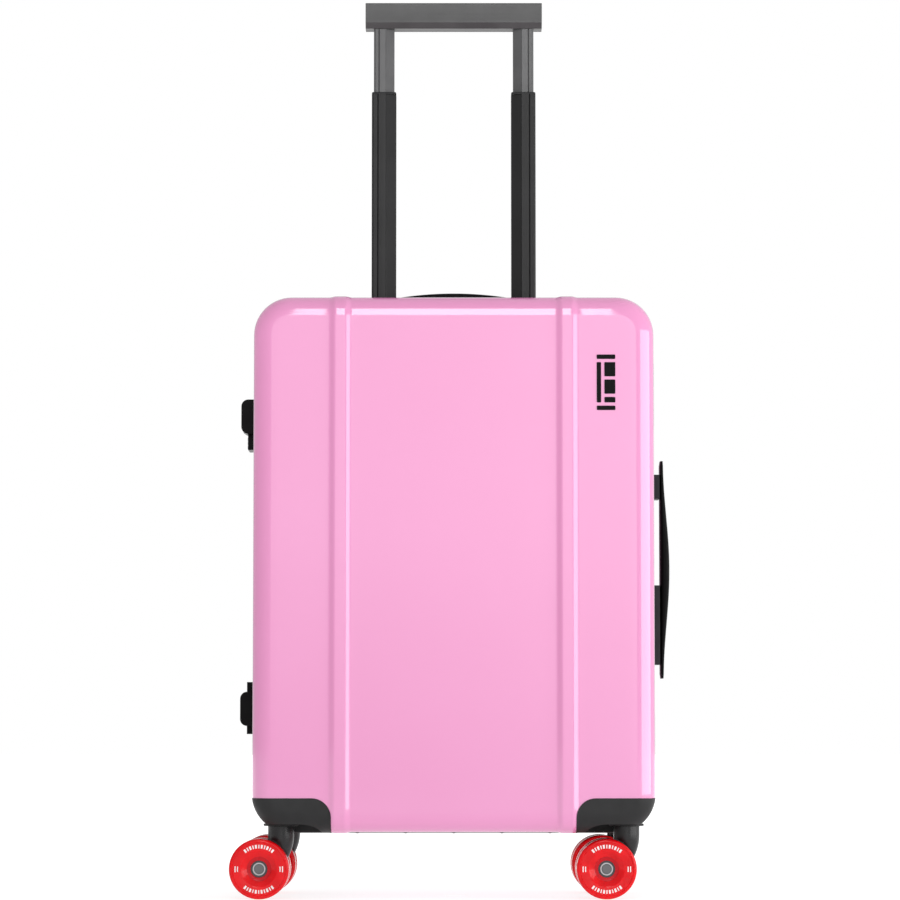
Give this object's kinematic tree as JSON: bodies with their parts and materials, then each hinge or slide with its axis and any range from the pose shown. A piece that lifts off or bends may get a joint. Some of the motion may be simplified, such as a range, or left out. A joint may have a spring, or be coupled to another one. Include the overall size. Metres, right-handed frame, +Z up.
{
  "type": "hard shell suitcase on wheels",
  "caption": "Cabin suitcase with two ribbed pink shells in a hinged frame, swivel casters with red twin wheels, pull handle, carry handles and edge latches.",
  "frame": {"origin": "on the ground under the middle of the case, in the plane where the two halves part", "axes": "+X to the right seen from the front, +Y towards the back with the pull handle, +Z up"},
  "size_m": [0.4098, 0.229, 0.858],
  "materials": {
    "shell_pink": "gloss, smooth pressed sheet",
    "frame_black": "satin anodised black",
    "seal_rubber": "matt",
    "lining_cloth": "fine plain weave",
    "webbing": "ribbed elastic webbing",
    "guard_grey": "matt, fine moulded grain",
    "leg_black": "semi-gloss moulded",
    "steel": "bright machined",
    "latch_black": "satin black",
    "handle_rubber": "soft touch, satin",
    "handle_plastic": "matt moulded",
    "tube_grey": "satin anodised dark grey",
    "grip_grey": "fine horizontal brushing, dark grey",
    "wheel_red": "cast polyurethane, slightly see-through"
  },
  "bodies": {
    "rear_case": {"rear_shell": "shell_pink", "rear_frame": "frame_black", "rear_lining": "lining_cloth", "packing_straps": "webbing", "rear_left_guard": "guard_grey", "rear_right_guard": "guard_grey", "rear_swivel_plates": "guard_grey", "rear_plate_screws": "steel", "hinge_rear_leaves": "steel", "hinge_pins": "steel", "upper_latch_base": "latch_black", "lower_latch_base": "latch_black", "latch_pins": "steel", "top_handle_mounts": "handle_plastic", "side_handle_mounts": "handle_plastic", "outer_tubes": "tube_grey", "handle_tray": "handle_plastic", "tube_foot": "handle_plastic"},
    "front_case": {"front_shell": "shell_pink", "front_frame": "frame_black", "frame_seal": "seal_rubber", "front_lining": "lining_cloth", "divider_panel": "lining_cloth", "front_left_guard": "guard_grey", "front_right_guard": "guard_grey", "front_swivel_plates": "guard_grey", "front_plate_screws": "steel", "hinge_front_leaves": "steel", "latch_keepers": "latch_black"},
    "upper_latch": {"upper_latch_lever": "latch_black"},
    "lower_latch": {"lower_latch_lever": "latch_black"},
    "number_dials": {"upper_lock_dials": "steel"},
    "key_barrel": {"lower_lock_barrel": "steel"},
    "top_handle": {"top_handle_grip": "handle_rubber"},
    "side_handle": {"side_handle_grip": "handle_rubber"},
    "mid_stage": {"mid_tubes": "tube_grey"},
    "top_stage": {"inner_tubes": "tube_grey", "grip_bar": "grip_grey"},
    "button": {"release_button": "handle_plastic", "release_rods": "steel"},
    "front_left_caster": {"front_left_leg": "leg_black", "front_left_axle": "steel", "front_left_bearings": "steel"},
    "front_left_front_wheel": {"front_left_wheel_front": "wheel_red"},
    "front_left_back_wheel": {"front_left_wheel_back": "wheel_red"},
    "front_right_caster": {"front_right_leg": "leg_black", "front_right_axle": "steel", "front_right_bearings": "steel"},
    "front_right_front_wheel": {"front_right_wheel_front": "wheel_red"},
    "front_right_back_wheel": {"front_right_wheel_back": "wheel_red"},
    "rear_left_caster": {"rear_left_leg": "leg_black", "rear_left_axle": "steel", "rear_left_bearings": "steel"},
    "rear_left_front_wheel": {"rear_left_wheel_front": "wheel_red"},
    "rear_left_back_wheel": {"rear_left_wheel_back": "wheel_red"},
    "rear_right_caster": {"rear_right_leg": "leg_black", "rear_right_axle": "steel", "rear_right_bearings": "steel"},
    "rear_right_front_wheel": {"rear_right_wheel_front": "wheel_red"},
    "rear_right_back_wheel": {"rear_right_wheel_back": "wheel_red"}
  },
  "joints": [
    {"name": "case_hinge", "type": "hinge", "parent": "rear_case", "child": "front_case", "pos_m": [0.1863, 0, 0.305], "axis": [0, 0, 1], "range_deg": [0, 120]},
    {"name": "mid_slide", "type": "slide", "parent": "rear_case", "child": "mid_stage", "axis": [0, 0, 1], "range_m": [-0.247, 0]},
    {"name": "top_slide", "type": "slide", "parent": "mid_stage", "child": "top_stage", "axis": [0, 0, 1], "range_m": [-0.058, 0.16]},
    {"name": "button_press", "type": "slide", "parent": "top_stage", "child": "button", "axis": [0, 0, -1], "range_m": [0, 0.0025], "stiffness_N_per_m": 300, "springref_m": -0.012},
    {"name": "top_handle_lift", "type": "slide", "parent": "rear_case", "child": "top_handle", "axis": [0, 0, 1], "range_m": [0, 0.012], "stiffness_N_per_m": 150, "springref_m": -0.005},
    {"name": "side_handle_lift", "type": "slide", "parent": "rear_case", "child": "side_handle", "axis": [1, 0, 0], "range_m": [0, 0.012], "stiffness_N_per_m": 150, "springref_m": -0.008},
    {"name": "upper_latch_lift", "type": "hinge", "parent": "rear_case", "child": "upper_latch", "pos_m": [-0.1971, 0.024, 0.4485], "axis": [0, 0, -1], "range_deg": [0, 80]},
    {"name": "lower_latch_lift", "type": "hinge", "parent": "rear_case", "child": "lower_latch", "pos_m": [-0.1971, 0.024, 0.174], "axis": [0, 0, -1], "range_deg": [0, 80]},
    {"name": "dials_turn", "type": "hinge", "parent": "rear_case", "child": "number_dials", "pos_m": [-0.1912, 0.012, 0.425], "axis": [0, 0, 1], "continuous": true},
    {"name": "key_turn", "type": "hinge", "parent": "rear_case", "child": "key_barrel", "pos_m": [-0.192, 0.012, 0.1948], "axis": [-1, 0, 0], "range_deg": [0, 90]},
    {"name": "front_left_swivel", "type": "hinge", "parent": "front_case", "child": "front_left_caster", "pos_m": [-0.1585, -0.072, 0.066], "axis": [0, 0, 1], "continuous": true},
    {"name": "front_left_front_spin", "type": "hinge", "parent": "front_left_caster", "child": "front_left_front_wheel", "pos_m": [-0.1775, -0.088, 0.0275], "axis": [0, 1, 0], "continuous": true},
    {"name": "front_left_back_spin", "type": "hinge", "parent": "front_left_caster", "child": "front_left_back_wheel", "pos_m": [-0.1775, -0.056, 0.0275], "axis": [0, 1, 0], "continuous": true},
    {"name": "front_right_swivel", "type": "hinge", "parent": "front_case", "child": "front_right_caster", "pos_m": [0.1585, -0.072, 0.066], "axis": [0, 0, 1], "continuous": true},
    {"name": "front_right_front_spin", "type": "hinge", "parent": "front_right_caster", "child": "front_right_front_wheel", "pos_m": [0.1395, -0.088, 0.0275], "axis": [0, 1, 0], "continuous": true},
    {"name": "front_right_back_spin", "type": "hinge", "parent": "front_right_caster", "child": "front_right_back_wheel", "pos_m": [0.1395, -0.056, 0.0275], "axis": [0, 1, 0], "continuous": true},
    {"name": "rear_left_swivel", "type": "hinge", "parent": "rear_case", "child": "rear_left_caster", "pos_m": [-0.1585, 0.072, 0.066], "axis": [0, 0, 1], "continuous": true},
    {"name": "rear_left_front_spin", "type": "hinge", "parent": "rear_left_caster", "child": "rear_left_front_wheel", "pos_m": [-0.1775, 0.056, 0.0275], "axis": [0, 1, 0], "continuous": true},
    {"name": "rear_left_back_spin", "type": "hinge", "parent": "rear_left_caster", "child": "rear_left_back_wheel", "pos_m": [-0.1775, 0.088, 0.0275], "axis": [0, 1, 0], "continuous": true},
    {"name": "rear_right_swivel", "type": "hinge", "parent": "rear_case", "child": "rear_right_caster", "pos_m": [0.1585, 0.072, 0.066], "axis": [0, 0, 1], "continuous": true},
    {"name": "rear_right_front_spin", "type": "hinge", "parent": "rear_right_caster", "child": "rear_right_front_wheel", "pos_m": [0.1395, 0.056, 0.0275], "axis": [0, 1, 0], "continuous": true},
    {"name": "rear_right_back_spin", "type": "hinge", "parent": "rear_right_caster", "child": "rear_right_back_wheel", "pos_m": [0.1395, 0.088, 0.0275], "axis": [0, 1, 0], "continuous": true}
  ]
}
